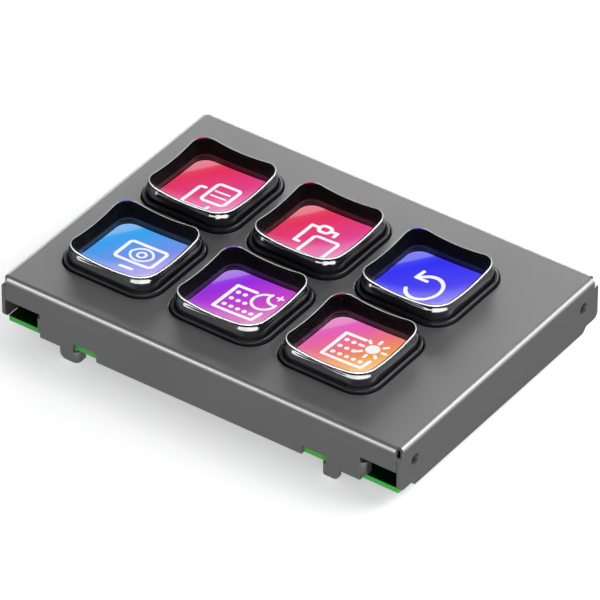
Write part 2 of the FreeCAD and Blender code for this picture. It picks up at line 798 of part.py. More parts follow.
def save_keys():
    shell = key_shell()
    lens = key_lens()
    boot = return_boot()
    for number, (x, y) in enumerate(key_places(), 1):
        place = Vector(x, y, 0)
        save(shell.translated(place), "key_shell_" + str(number))
        save(lens.translated(place), "key_lens_" + str(number))
        save(boot.translated(place), "return_boot_" + str(number))


def main():
    os.makedirs("parts", exist_ok=True)
    save(top_cover(), "top_cover")
    save(guide_frame(), "guide_frame")
    save_keys()
    save(contact_sheet(), "contact_board")
    save(display_gasket(), "display_gasket")
    save(display_block(0, glass_bottom, glass_top), "display_glass")
    save(display_block(0, tray_floor, glass_bottom), "light_guide")
    save(display_tray(), "display_tray")
    save(display_carrier(), "display_carrier")
    save(clinch_posts(), "clinch_posts")
    save(board_spacers(), "board_spacers")
    save(board_screws(), "board_screws")
    save(main_board(), "main_board")
    glass_middle = (glass_top + glass_bottom) / 2
    contact_middle = (frame_bottom + contact_bottom) / 2
    save(ribbon_strip(key_block_x + glass_half_x, glass_middle, display_ribbon_y, display_ribbon_width),
         "display_ribbon")
    save(ribbon_strip(key_block_x + contact_half_x, contact_middle, contact_ribbon_y, contact_ribbon_width),
         "contact_ribbon")
    save(ribbon_socket(display_ribbon_y, display_ribbon_width), "display_ribbon_socket")
    save(ribbon_socket(contact_ribbon_y, contact_ribbon_width), "contact_ribbon_socket")
    save(socket_shell(), "socket_shell")
    save(socket_tongue(), "socket_tongue")
    save(chip_body(controller_share, chip_size, chip_size, chip_height), "controller_chip")
    save(chip_body(memory_share, memory_length, memory_width, small_chip_height), "memory_chip")
    save(chip_body(regulator_share, regulator_length, regulator_width, small_chip_height), "regulator_chip")
    save(chip_lead_group(), "chip_leads")
    save(crystal_can(), "crystal_can")
    save(power_coil(), "power_coil")
    bodies, ends = capacitors()
    save(bodies, "capacitor_bodies")
    save(ends, "capacitor_ends")


main()
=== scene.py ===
import json
import math
import bpy
from mathutils import Matrix, Vector

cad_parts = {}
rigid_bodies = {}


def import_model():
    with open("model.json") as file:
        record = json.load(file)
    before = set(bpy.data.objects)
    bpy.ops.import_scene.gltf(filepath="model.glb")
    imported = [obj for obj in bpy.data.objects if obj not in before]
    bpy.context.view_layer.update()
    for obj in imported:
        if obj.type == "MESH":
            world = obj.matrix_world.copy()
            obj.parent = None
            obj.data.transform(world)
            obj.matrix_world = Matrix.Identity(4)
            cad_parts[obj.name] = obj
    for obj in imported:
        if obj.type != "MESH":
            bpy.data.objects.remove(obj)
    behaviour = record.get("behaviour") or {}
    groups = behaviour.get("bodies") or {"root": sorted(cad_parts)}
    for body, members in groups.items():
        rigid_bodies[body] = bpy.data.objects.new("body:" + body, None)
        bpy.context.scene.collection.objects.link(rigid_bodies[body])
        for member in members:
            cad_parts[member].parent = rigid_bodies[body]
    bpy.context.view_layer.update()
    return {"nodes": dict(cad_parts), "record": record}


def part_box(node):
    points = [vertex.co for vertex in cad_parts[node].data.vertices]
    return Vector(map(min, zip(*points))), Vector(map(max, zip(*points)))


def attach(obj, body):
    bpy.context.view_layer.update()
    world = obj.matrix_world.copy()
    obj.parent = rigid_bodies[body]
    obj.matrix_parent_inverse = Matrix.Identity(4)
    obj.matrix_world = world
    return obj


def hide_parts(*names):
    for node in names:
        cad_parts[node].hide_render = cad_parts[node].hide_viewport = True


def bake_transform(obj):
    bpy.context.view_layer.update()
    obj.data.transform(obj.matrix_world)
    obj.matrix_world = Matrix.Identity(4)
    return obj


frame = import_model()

mm = 0.001
sameLevel = 0.001 * mm  # heights closer than this count as one
tiny = 0.01 * mm        # the play in the tests on moved points
beyond = 2 * mm         # how far a cut reaches past what it cuts
overlap = 0.3 * mm      # how far a joined piece runs into its neighbour
coverLow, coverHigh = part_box("top_cover")
plateTop = coverHigh.z
keyNumbers = range(1, 7)
print("frame loaded")


# Modelling helpers

def objectMode():
    if bpy.context.object and bpy.context.object.mode != "OBJECT":
        bpy.ops.object.mode_set(mode="OBJECT")


def clearSelection():
    objectMode()
    bpy.ops.object.select_all(action="DESELECT")


def activate(piece):
    clearSelection()
    piece.select_set(True)
    bpy.context.view_layer.objects.active = piece


def applyPlace():
    # Moves the active object's place, turn and size into its mesh
    bpy.ops.object.transform_apply(location=True, rotation=True, scale=True)


def addBlock(name, low, high):
    # A cube primitive between two corners
    clearSelection()
    low, high = Vector(low), Vector(high)
    bpy.ops.mesh.primitive_cube_add(size=1, location=(low + high) / 2, scale=high - low)
    block = bpy.context.object
    block.name = name
    applyPlace()
    return block


def addRod(name, start, end, radius, steps=32):
    # A cylinder primitive between two points
    clearSelection()
    start, end = Vector(start), Vector(end)
    turn = (end - start).to_track_quat("Z", "Y").to_euler()
    bpy.ops.mesh.primitive_cylinder_add(vertices=steps, radius=radius, depth=(end - start).length,
                                        location=(start + end) / 2, rotation=turn)
    rod = bpy.context.object
    rod.name = name
    applyPlace()
    return rod


def select(piece, kind, test):
    # Selects the faces or edges that pass test(middle, direction), and stays in edit mode
    activate(piece)
    bpy.ops.object.mode_set(mode="EDIT")
    bpy.ops.mesh.select_mode(type=kind)
    bpy.ops.mesh.select_all(action="DESELECT")
    bpy.ops.object.mode_set(mode="OBJECT")
    mesh = piece.data
    if kind == "FACE":
        for face in mesh.polygons:
            face.select = test(face.center, face.normal)
    else:
        for edge in mesh.edges:
            start, end = (mesh.vertices[i].co for i in edge.vertices)
            edge.select = test((start + end) / 2, (end - start).normalized())
    bpy.ops.object.mode_set(mode="EDIT")


def selectAllIn(piece):
    activate(piece)
    bpy.ops.object.mode_set(mode="EDIT")
    bpy.ops.mesh.select_all(action="SELECT")


def facesUp(middle, normal):
    return normal.z > 0.9


def facesDown(middle, normal):
    return normal.z < -0.9


def atLevel(level):
    return lambda middle, normal: abs(middle.z - level) < sameLevel and abs(normal.z) > 0.9


def faceOutwards():
    bpy.ops.mesh.select_all(action="SELECT")
    bpy.ops.mesh.normals_make_consistent(inside=False)


def applyModifier(piece, kind, **settings):
    activate(piece)
    modifier = piece.modifiers.new(kind.title(), kind)
    for key, value in settings.items():
        setattr(modifier, key, value)
    bpy.ops.object.modifier_apply(modifier=modifier.name)


def boolean(piece, tool, operation="DIFFERENCE"):
    applyModifier(piece, "BOOLEAN", object=tool, operation=operation, solver="EXACT")
    bpy.data.objects.remove(tool)


def outlinePrism(name, points, axis, start, end):
    # A closed outline in the plane across an axis, extruded along it
    clearSelection()
    bpy.ops.mesh.primitive_circle_add(vertices=len(points), radius=1, fill_type="NGON")
    prism = bpy.context.object
    prism.name = name
    for vertex, (u, v) in zip(prism.data.vertices, points):
        vertex.co = [(start, u, v), (u, start, v), (u, v, start)][axis]
    way = Vector([0, 0, 0])
    way[axis] = end - start
    selectAllIn(prism)
    bpy.ops.mesh.extrude_region_move(TRANSFORM_OT_translate={"value": way})
    faceOutwards()
    objectMode()
    return prism


def arc(centre, radius, first, last, steps=8):
    # Points on a circle between two angles in degrees
    angles = [math.radians(first + (last - first) * i / steps) for i in range(steps + 1)]
    return [(centre[0] + radius * math.cos(a), centre[1] + radius * math.sin(a)) for a in angles]


def roundedBlock(name, centre, half, corner, low, high, steps=10):
    # An upright square block whose four standing edges are bevelled to arcs
    block = addBlock(name, (centre[0] - half, centre[1] - half, low),
                     (centre[0] + half, centre[1] + half, high))
    select(block, "EDGE", lambda middle, way: abs(way.z) > 0.9)
    bpy.ops.mesh.bevel(offset=corner, offset_type="OFFSET", segments=steps, affect="EDGES")
    objectMode()
    return block


def insetFace(offset, rise=0.0):
    # Insets the selected face by a width, and then moves it up or down
    bpy.ops.mesh.inset(thickness=offset, depth=0)
    if rise:
        bpy.ops.transform.translate(value=(0, 0, rise))


def raiseFace(rise):
    bpy.ops.mesh.extrude_region_move(TRANSFORM_OT_translate={"value": (0, 0, rise)})


def quarterCircle(steps):
    # The first and last angle of each step
    angles = [math.radians(90 * i / steps) for i in range(steps + 1)]
    return zip(angles, angles[1:])


def roundRim(radius):
    # Raises the selected face while it narrows, so that its rim is rounded
    for last, angle in quarterCircle(6):
        insetFace(radius * (math.cos(last) - math.cos(angle)), radius * (math.sin(angle) - math.sin(last)))


def flareRim(radius):
    # Lowers the selected face while it narrows, as into a hole with a rounded edge
    for last, angle in quarterCircle(4):
        insetFace(radius * (math.sin(angle) - math.sin(last)), -radius * (math.cos(last) - math.cos(angle)))


def bridgeFaces(piece, test):
    # Joins two faces of a piece into a through hole
    select(piece, "FACE", test)
    bpy.ops.mesh.bridge_edge_loops()
    faceOutwards()
    objectMode()


def smooth(piece, degrees=30):
    activate(piece)
    bpy.ops.object.shade_smooth_by_angle(angle=math.radians(degrees), keep_sharp_edges=True)


def finishPiece(piece, material, body, slot, *nodes):
    piece.data.materials.clear()
    piece.data.materials.append(material)
    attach(piece, body)
    if nodes:
        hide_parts(*nodes)


# Materials

def startMaterial(name, color, roughness, metallic=0.0):
    material = bpy.data.materials.new(name)
    material.use_nodes = True
    shader = material.node_tree.nodes["Principled BSDF"]
    shader.inputs["Base Color"].default_value = (*color, 1)
    shader.inputs["Roughness"].default_value = roughness
    shader.inputs["Metallic"].default_value = metallic
    return material, shader


def noiseOn(material, scale, detail=3.0):
    nodes, links = material.node_tree.nodes, material.node_tree.links
    place = nodes.new("ShaderNodeTexCoord")
    noise = nodes.new("ShaderNodeTexNoise")
    noise.inputs["Scale"].default_value = scale
    noise.inputs["Detail"].default_value = detail
    links.new(place.outputs["Object"], noise.inputs["Vector"])
    return noise


def fillRamp(ramp, stops):
    while len(ramp.color_ramp.elements) < len(stops):
        ramp.color_ramp.elements.new(0.5)
    for element, (position, color) in zip(ramp.color_ramp.elements, stops):
        element.position = position
        element.color = (*color, 1)


def varyRoughness(material, shader, noise, low, high):
    nodes, links = material.node_tree.nodes, material.node_tree.links
    span = nodes.new("ShaderNodeMapRange")
    span.inputs["From Min"].default_value = 0.3
    span.inputs["From Max"].default_value = 0.7
    span.inputs["To Min"].default_value = low
    span.inputs["To Max"].default_value = high
    links.new(noise.outputs["Fac"], span.inputs["Value"])
    links.new(span.outputs["Result"], shader.inputs["Roughness"])


def varyColor(material, shader, noise, dark, light):
    nodes, links = material.node_tree.nodes, material.node_tree.links
    ramp = nodes.new("ShaderNodeValToRGB")
    fillRamp(ramp, [(0.35, dark), (0.65, light)])
    links.new(noise.outputs["Fac"], ramp.inputs["Fac"])
    links.new(ramp.outputs["Color"], shader.inputs["Base Color"])


def addBump(material, shader, noise, strength, distance):
    nodes, links = material.node_tree.nodes, material.node_tree.links
    bump = nodes.new("ShaderNodeBump")
    bump.inputs["Strength"].default_value = strength
    bump.inputs["Distance"].default_value = distance
    links.new(noise.outputs["Fac"], bump.inputs["Height"])
    links.new(bump.outputs["Normal"], shader.inputs["Normal"])


surface = {
    "cloudScale": 400, "metalScale": 700, "grainScale": 6000, "grain": (0.1, 0.02 * mm),
    "board": (0.25, 0.38), "paintedLitEdgeBand": 0.03 * mm, "trackScale": 60, "panel": 1.3, "track": 2.2,
    "lensIndex": 1.66,  # puts the pictures' edges where they are seen through the keys
}


def satinSteel():
    finish = {
        "color": (0.335, 0.335, 0.34), "light": (0.35, 0.35, 0.355), "metallic": 0.9, "rough": (0.40, 0.43),
        "speckScale": 5000, "cloudScale": 60, "grainScale": 9000, "grain": (0.05, 0.02 * mm),
    }
    material, shader = startMaterial("satinCoatedSteel", finish["color"], finish["rough"][0],
                                     finish["metallic"])
    varyColor(material, shader, noiseOn(material, finish["speckScale"]), finish["color"], finish["light"])
    varyRoughness(material, shader, noiseOn(material, finish["cloudScale"]), *finish["rough"])
    addBump(material, shader, noiseOn(material, finish["grainScale"], 2), *finish["grain"])
    return material


def mouldedPlastic(name, color, rough, grain=surface["grainScale"]):
    material, shader = startMaterial(name, color, rough)
    varyRoughness(material, shader, noiseOn(material, surface["cloudScale"]), rough * 0.9, rough * 1.1)
    addBump(material, shader, noiseOn(material, grain, 2), *surface["grain"])
    return material


def solderMask(name, edge, face, low, high):
    # A printed board: its own green is painted bright on the cut edge as lit and near black on the two faces
    # as shaded (painted light and shade), with faint printed tracks on the faces
    material, shader = startMaterial(name, face, 0.3)
    nodes, links = material.node_tree.nodes, material.node_tree.links
    place = nodes.new("ShaderNodeTexCoord")
    split = nodes.new("ShaderNodeSeparateXYZ")
    between = nodes.new("ShaderNodeMath")
    between.operation = "COMPARE"
    between.inputs[1].default_value = (low + high) / 2
    between.inputs[2].default_value = (high - low) / 2 - surface["paintedLitEdgeBand"]
    blend = nodes.new("ShaderNodeMix")
    blend.data_type = "RGBA"
    blend.inputs["B"].default_value = (*edge, 1)
    tracks = nodes.new("ShaderNodeTexBrick")
    tracks.inputs["Scale"].default_value = surface["trackScale"]
    tracks.inputs["Color1"].default_value = (*face, 1)
    tracks.inputs["Color2"].default_value = (*(surface["panel"] * value for value in face), 1)
    tracks.inputs["Mortar"].default_value = (*(surface["track"] * value for value in face), 1)
    links.new(place.outputs["Object"], tracks.inputs["Vector"])
    links.new(tracks.outputs["Color"], blend.inputs["A"])
    links.new(place.outputs["Object"], split.inputs["Vector"])
    links.new(split.outputs["Z"], between.inputs[0])
    links.new(between.outputs["Value"], blend.inputs["Factor"])
    links.new(blend.outputs["Result"], shader.inputs["Base Color"])
    varyRoughness(material, shader, noiseOn(material, surface["cloudScale"]), *surface["board"])
    return material


def brightMetal(name, color, rough):
    material, shader = startMaterial(name, color, rough, 1.0)
    varyRoughness(material, shader, noiseOn(material, surface["metalScale"]), rough * 0.8, rough * 1.3)
    return material


def clearPlastic():
    material, shader = startMaterial("clearKeyPlastic", (0.98, 0.98, 0.99), 0.0)
    shader.inputs["Transmission Weight"].default_value = 1.0
    shader.inputs["IOR"].default_value = surface["lensIndex"]
    shader.inputs["Specular Tint"].default_value = (0, 0, 0, 1)
    return material


boardLow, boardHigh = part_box("main_board")
materials = {
    "cover_steel": satinSteel(),
    "black_moulding": mouldedPlastic("charcoalMoulding", (0.012, 0.012, 0.015), 0.3),
    "shell_black": mouldedPlastic("pianoBlack", (0.004, 0.004, 0.005), 0.06, 2000),
    "clear_lens": clearPlastic(),
    "soft_boot": mouldedPlastic("siliconeRubber", (0.05, 0.05, 0.055), 0.55),
    "black_board": mouldedPlastic("blackSolderMask", (0.008, 0.010, 0.009), 0.35),
    "grey_foam": mouldedPlastic("foamGrey", (0.08, 0.08, 0.08), 0.9),
    "display_glass": mouldedPlastic("darkDisplayGlass", (0.003, 0.003, 0.004), 0.05),
    "light_guide": mouldedPlastic("lightGuideWhite", (0.7, 0.72, 0.75), 0.4),
    "bright_steel": brightMetal("brightTin", (0.62, 0.61, 0.60), 0.28),
    "grey_moulding": mouldedPlastic("greyMoulding", (0.06, 0.06, 0.065), 0.45),
    "zinc_steel": brightMetal("zincPlate", (0.55, 0.56, 0.60), 0.32),
    "black_steel": brightMetal("blackenedSteel", (0.06, 0.06, 0.065), 0.35),
    # bright edge green and near-black face green: painted light on the edge, painted shade on the faces
    "green_board": solderMask("greenSolderMask", (0.045, 0.42, 0.05), (0.003, 0.022, 0.008),
                              boardLow.z, boardHigh.z),
    "amber_film": mouldedPlastic("amberFilm", (0.40, 0.16, 0.02), 0.3),
    "socket_plastic": mouldedPlastic("socketPlastic", (0.02, 0.02, 0.022), 0.5),
    "chip_black": mouldedPlastic("chipResin", (0.02, 0.02, 0.021), 0.6),
    "tinned_metal": brightMetal("tinnedLead", (0.72, 0.71, 0.68), 0.25),
    "coil_grey": mouldedPlastic("ferriteGrey", (0.09, 0.09, 0.09), 0.6),
    "ceramic_tan": mouldedPlastic("ceramicTan", (0.35, 0.24, 0.13), 0.5),
    "liner": mouldedPlastic("matteBlackLining", (0.006, 0.006, 0.007), 0.8),
}
materials["liner"].node_tree.nodes["Principled BSDF"].inputs["Specular IOR Level"].default_value = 0.15
slotOf = {part["node"]: part["material_slot"] for part in frame["record"]["subparts"]}
for node, thing in frame["nodes"].items():
    thing.data.materials.clear()
    thing.data.materials.append(materials[slotOf[node]])
print("materials made")


# The folded steel cover

trayCover = {
    "sheet": 0.7 * mm, "bend": 1.0 * mm, "bendSteps": 10, "flangeLow": 2.25 * mm, "seam": 0.08 * mm,
    "relief": (1.1 * mm, 1.9 * mm),                    # length along the flange, depth
    "portWindow": (21.7 * mm, 4.0 * mm),               # half width, top
    "tab": (26.7 * mm, 29.5 * mm, 1.3 * mm),           # start, end, corner radius
    "cornerWindow": (33.8 * mm, 7.2 * mm),             # start, top
    "tabWing": 2.4 * mm,                               # reach inwards
    "cornerWing": (2.0 * mm, 3.35 * mm, 6.1 * mm),     # reach inwards, foot, top
    "sideStep": (25.5 * mm, 26.6 * mm, 3.25 * mm, 1.2 * mm),          # slope's foot and head, level, corner
    "sideHole": (25.5 * mm, 7.7 * mm, 1.1 * mm, 1.5 * mm, 1.0 * mm),  # y, z, radius, burr's radius and length
    "keyHole": (10.3 * mm, 4.6 * mm, 0.32 * mm),       # half width, corner radius, rolled edge
    "socketWindow": (4.97 * mm, 0.5 * mm),             # half width, room above the socket
    "edge": (0.05 * mm, 40),                           # width, least angle in degrees
}


def keyCentre(number):
    low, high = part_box("key_lens_%d" % number)
    return (low.x + high.x) / 2, (low.y + high.y) / 2


def coverBlank():
    blank = addBlock("trayCover", (coverLow.x, coverLow.y, 0), coverHigh)
    select(blank, "EDGE", lambda middle, way: middle.z > plateTop - mm and abs(way.z) < 0.1)
    bpy.ops.mesh.bevel(offset=trayCover["bend"], segments=trayCover["bendSteps"], affect="EDGES")
    select(blank, "FACE", facesDown)
    bpy.ops.mesh.delete(type="FACE")
    applyModifier(blank, "SOLIDIFY", thickness=trayCover["sheet"], offset=-1, use_even_offset=True)
    return blank


def mirrored(points):
    return [(-u, v) for u, v in reversed(points)]


def longFlangeCuts():
    portStart, portTop = trayCover["portWindow"]
    tabStart, tabEnd, tabCorner = trayCover["tab"]
    windowStart, windowTop = trayCover["cornerWindow"]
    low = trayCover["flangeLow"]
    end = coverHigh.x - trayCover["sheet"] - trayCover["seam"] / 2
    corner = [(end, -beyond), (end, windowTop), (windowStart, windowTop)]
    corner += [(windowStart, low), (tabEnd, low)]
    corner += arc((tabEnd - tabCorner, tabCorner), tabCorner, 0, -90) + [(tabEnd - tabCorner, -beyond)]
    half = [(portStart, low), (portStart, portTop), (tabStart, portTop), (tabStart, -beyond)]
    start, stop = coverLow.y - beyond, coverHigh.y + beyond
    outlines = (corner, mirrored(corner), mirrored(half) + half)
    return [outlinePrism("cut", outline, 1, start, stop) for outline in outlines]


def sideFlangeCuts():
    slopeEnd, slopeStart, stepLevel, corner = trayCover["sideStep"]
    low = trayCover["flangeLow"]
    end = coverHigh.y
    half = [(slopeEnd, low), (slopeStart, stepLevel), (end - corner, stepLevel)]
    half += arc((end - corner, stepLevel + corner), corner, -90, 0)[1:]
    half += [(end + beyond, stepLevel + corner), (end + beyond, -beyond)]
    outline = mirrored(half) + half
    inner = coverHigh.x - trayCover["sheet"] - trayCover["seam"] / 2
    outer = coverHigh.x + beyond
    return [outlinePrism("cut", outline, 0, inner, outer), outlinePrism("cut", outline, 0, -outer, -inner)]


def cornerCuts():
    length, depth = trayCover["relief"]
    inner = coverHigh.x - trayCover["sheet"]
    cuts = []
    for sideX in (-1, 1):
        seam = sorted((sideX * inner, sideX * (inner - trayCover["seam"])))
        cuts.append(addBlock("cut", (seam[0], coverLow.y - beyond, -beyond),
                             (seam[1], coverHigh.y + beyond, plateTop - depth + trayCover["seam"])))
        for sideY in (-1, 1):
            x = sorted((sideX * (coverHigh.x - length), sideX * (coverHigh.x + beyond)))
            y = sorted((sideY * (coverHigh.y - length), sideY * (coverHigh.y + beyond)))
            cuts.append(addBlock("cut", (x[0], y[0], plateTop - depth), (x[1], y[1], plateTop + beyond)))
    return cuts


def keyHoleCut(number):
    # A rounded square punch that flares at the plate's top, so the hole's edge comes out rolled
    half, corner, roll = trayCover["keyHole"]
    punch = roundedBlock("cut", keyCentre(number), half + roll, corner + roll, plateTop, plateTop + mm)
    select(punch, "FACE", facesDown)
    flareRim(roll)
    raiseFace(-2 * beyond)
    objectMode()
    return punch


def wingProfile(flat, face, inwards, reach):
    # Outline from the flange's flat over the fold to the wing's end, seen from above at the front flange
    front, sheet, bend = coverLow.y, trayCover["sheet"], trayCover["bend"]
    turn = face + inwards * bend
    inner = bend - sheet
    first, last = (-90, -180) if inwards > 0 else (-90, 0)
    outer = arc((turn, front + bend), bend, first, last, 10)
    inside = arc((turn, front + bend), inner, last, first, 6)
    tip = [(face, front + reach), (face + inwards * sheet, front + reach)]
    return [(flat, front)] + outer + tip + inside + [(flat, front + sheet)]


def wings():
    tabStart, windowStart = trayCover["tab"][0], trayCover["cornerWindow"][0]
    bend = trayCover["bend"]
    reach, low, high = trayCover["cornerWing"]
    pieces = []
    tab = wingProfile(tabStart + overlap, tabStart - bend, 1, trayCover["tabWing"])
    corner = wingProfile(windowStart - overlap, windowStart + bend, -1, reach)
    for outline, z0, z1 in ((tab, 0, trayCover["flangeLow"]), (corner, low, high)):
        for sideX in (-1, 1):
            for sideY in (-1, 1):
                points = [(u * sideX, v * sideY) for u, v in outline]
                pieces.append(outlinePrism("wing", points, 2, z0, z1))
    return pieces


def cutSideHoles(cover):
    # Two threaded holes in each short flange, with the burrs that carry their threads
    holeY, holeZ, radius, burr, burrLength = trayCover["sideHole"]
    inner = coverHigh.x - trayCover["sheet"]
    for sideY in (-1, 1):
        y = sideY * holeY
        for sideX in (-1, 1):
            start, end = sideX * (inner + overlap), sideX * (inner - burrLength)
            boolean(cover, addRod("burr", (start, y, holeZ), (end, y, holeZ), burr), "UNION")
        start, end = coverLow.x - beyond, coverHigh.x + beyond
        boolean(cover, addRod("cut", (start, y, holeZ), (end, y, holeZ), radius, 40))


def socketCut():
    half, clear = trayCover["socketWindow"]
    low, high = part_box("socket_shell")
    middle = (low.x + high.x) / 2
    return addBlock("cut", (middle - half, high.y - mm, -beyond),
                    (middle + half, high.y + beyond, high.z + clear))


def makeCover():
    cover = coverBlank()
    for cut in longFlangeCuts() + sideFlangeCuts() + cornerCuts():
        boolean(cover, cut)
    for wing in wings():
        boolean(cover, wing, "UNION")
    cutSideHoles(cover)
    boolean(cover, socketCut())
    for number in keyNumbers:
        boolean(cover, keyHoleCut(number))
    width, angle = trayCover["edge"]
    applyModifier(cover, "BEVEL", width=width, segments=2, limit_method="ANGLE",
                  angle_limit=math.radians(angle))
    smooth(cover)
    # The flat sheet is shaded flat up to its softened edges
    applyModifier(cover, "WEIGHTED_NORMAL", weight=80, keep_sharp=True)
    finishPiece(cover, materials["cover_steel"], "chassis", "cover_steel", "top_cover")
    return cover


cover = makeCover()
print("cover made:", len(cover.data.polygons), "faces")


# The guide frame with its collars

collars = {
    "inner": 9.36 * mm, "wall": 0.72 * mm, "corner": 4.38 * mm, "steps": 12,
    "height": 0.7 * mm, "round": 0.36 * mm,
}


def makeGuideFrame():
    # The frame below the plate keeps its solid's shape, and the collars are made anew with round tops
    source = frame["nodes"]["guide_frame"]
    body = source.copy()
    body.data = source.data.copy()
    bpy.context.scene.collection.objects.link(body)
    body.name = "guideFrame"
    body.parent = None
    for key in list(body.keys()):
        del body[key]
    selectAllIn(body)
    bpy.ops.mesh.remove_doubles(threshold=sameLevel / 2)
    objectMode()
    level = plateTop - trayCover["sheet"]
    high = level + 2 * beyond
    boolean(body, addBlock("cut", (coverLow.x, coverLow.y, level), (coverHigh.x, coverHigh.y, high)))
    smooth(body)
    finishPiece(body, materials["black_moulding"], "chassis", "black_moulding", "guide_frame")


def makeCollar(number):
    centre = keyCentre(number)
    wall, bend = collars["wall"], collars["round"]
    level = plateTop - trayCover["sheet"]
    top = plateTop + collars["height"]
    ring = roundedBlock("keyCollar_%d" % number, centre, collars["inner"] + wall, collars["corner"],
                        level, top - bend, collars["steps"])
    select(ring, "FACE", facesUp)
    roundRim(bend)
    flareRim(wall - bend)
    raiseFace(level - top + wall - bend)
    bridgeFaces(ring, atLevel(level))
    smooth(ring, 40)
    finishPiece(ring, materials["black_moulding"], "chassis", "black_moulding")


makeGuideFrame()
for number in keyNumbers:
    makeCollar(number)
print("collars made")


# Keys: a clear cap in a black shell

keyCap = {
    "half": 8.9 * mm, "corner": 3.2 * mm, "rim": 2.9 * mm, "dish": 36 * mm, "dishRings": 16,
    "edge": 0.16 * mm, "lip": 0.3 * mm, "ledge": 0.2 * mm, "wall": 0.45 * mm, "steps": 14,
    "strip": 1.3 * mm, "strips": 4, "bond": 0.02 * mm, "bead": 0.2 * mm, "beadTop": 0.02 * mm,
    "flare": 0.38 * mm, "bevel": (1.83 * mm, 2.46 * mm), "leastBevel": 0.04, "leanStart": 0.3 * mm,
    "fade": 6.6 * mm, "liftStart": 0.9 * mm, "flange": (0.37 * mm, 0.6 * mm), "aboveFlange": 0.1 * mm,
    "rings": (0.3, 0.9, 1.5, 1.79, 1.87, 2.15, 2.43, 2.50),  # in millimetres above the plate
}


def dishHeight(x, y, centre):
    # The round dish that all of a key's top follows
    radius = keyCap["dish"]
    reach = (x - centre[0]) ** 2 + (y - centre[1]) ** 2
    middle = plateTop + keyCap["rim"] + math.sqrt(radius ** 2 - keyCap["half"] ** 2)
    return middle - math.sqrt(radius ** 2 - reach)


def liftToDish(piece, centre, start, end):
    # Lifts what is above a level by the dish, and what is between the two levels by a growing share
    for vertex in piece.data.vertices:
        share = min(1, max(0, (vertex.co.z - start) / (end - start)))
        vertex.co.z += share * (dishHeight(vertex.co.x, vertex.co.y, centre) - plateTop - keyCap["rim"])


def shrinkToMiddle(centre):
    # Rings from the selected face's outline down to its middle
    for share in range(keyCap["dishRings"], 0, -1):
        bpy.ops.mesh.inset(thickness=0, depth=0)
        size = share / (share + 1)
        bpy.ops.transform.resize(value=(size, size, 1), center_override=(*centre, 0))
    bpy.ops.mesh.merge(type="CENTER")


def splitFlats(piece, centre):
    # Cuts a block's flat sides into strips, so that they can follow the dish
    for axis, way in enumerate(((1, 0, 0), (0, 1, 0))):
        for step in range(-keyCap["strips"], keyCap["strips"] + 1):
            selectAllIn(piece)
            place = [centre[0], centre[1], 0]
            place[axis] += step * keyCap["strip"]
            bpy.ops.mesh.bisect(plane_co=place, plane_no=way)
    objectMode()


def makeCap(number):
    centre = keyCentre(number)
    flat = plateTop + keyCap["rim"]
    lip, edge = keyCap["lip"], keyCap["edge"]
    thick = dishHeight(*centre, centre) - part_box("key_lens_%d" % number)[0].z
    cap = roundedBlock("keyLens_%d" % number, centre, keyCap["half"], keyCap["corner"],
                       flat - lip, flat - edge, keyCap["steps"])
    splitFlats(cap, centre)
    select(cap, "FACE", facesDown)
    insetFace(keyCap["wall"])
    raiseFace(lip - thick)
    shrinkToMiddle(centre)
    select(cap, "FACE", lambda middle, normal: normal.z > 0.9 and middle.z > flat - 2 * edge)
    roundRim(edge)
    insetFace(keyCap["ledge"])
    shrinkToMiddle(centre)
    objectMode()
    liftToDish(cap, centre, 0, mm)
    smooth(cap, 50)
    finishPiece(cap, materials["clear_lens"], "key_%d" % number, "clear_lens", "key_lens_%d" % number)


def shellPoint(height, cornerness):
    # The height of a ring's point, and how far it stands in from the shell's foot: the flats lean evenly,
    # and a bevel of one slope widens from nothing at a flat's middle to its full height at the corner
    start, end = keyCap["bevel"]
    first = keyCap["leanStart"]
    low = end - (end - start) * max(keyCap["leastBevel"], cornerness)
    if height > start:
        height = end - (end - height) * (end - low) / (end - start)
    else:
        height = first + (height - first) * (low - first) / (start - first)
    lean = max(0, height - first) / (keyCap["rim"] - keyCap["lip"] - first)
    bevel = max(0, min(1, (height - low) / (end - low)))
    return height, keyCap["flare"] * (lean * (1 - cornerness) + bevel * cornerness)


def shapeShell(shell, centre, low, top):
    # Moves the outer wall between two levels to the key's lean and bevel
    half, corner = keyCap["half"] + keyCap["flare"], keyCap["corner"] + keyCap["flare"]
    core = half - corner
    for vertex in shell.data.vertices:
        x, y = vertex.co.x - centre[0], vertex.co.y - centre[1]
        middle = Vector((max(-core, min(core, x)), max(-core, min(core, y))))
        out = Vector((x, y)) - middle
        if vertex.co.z < low or abs(out.length - corner) > tiny:
            continue
        cornerness = max(0, 1 - max(0, core - min(abs(x), abs(y))) / keyCap["fade"])
        height = vertex.co.z - plateTop
        if vertex.co.z < top - tiny:
            height, inwards = shellPoint(height, cornerness)
        else:
            inwards = keyCap["flare"]
        moved = middle + out * (1 - inwards / corner)
        vertex.co = (centre[0] + moved.x, centre[1] + moved.y, plateTop + height)


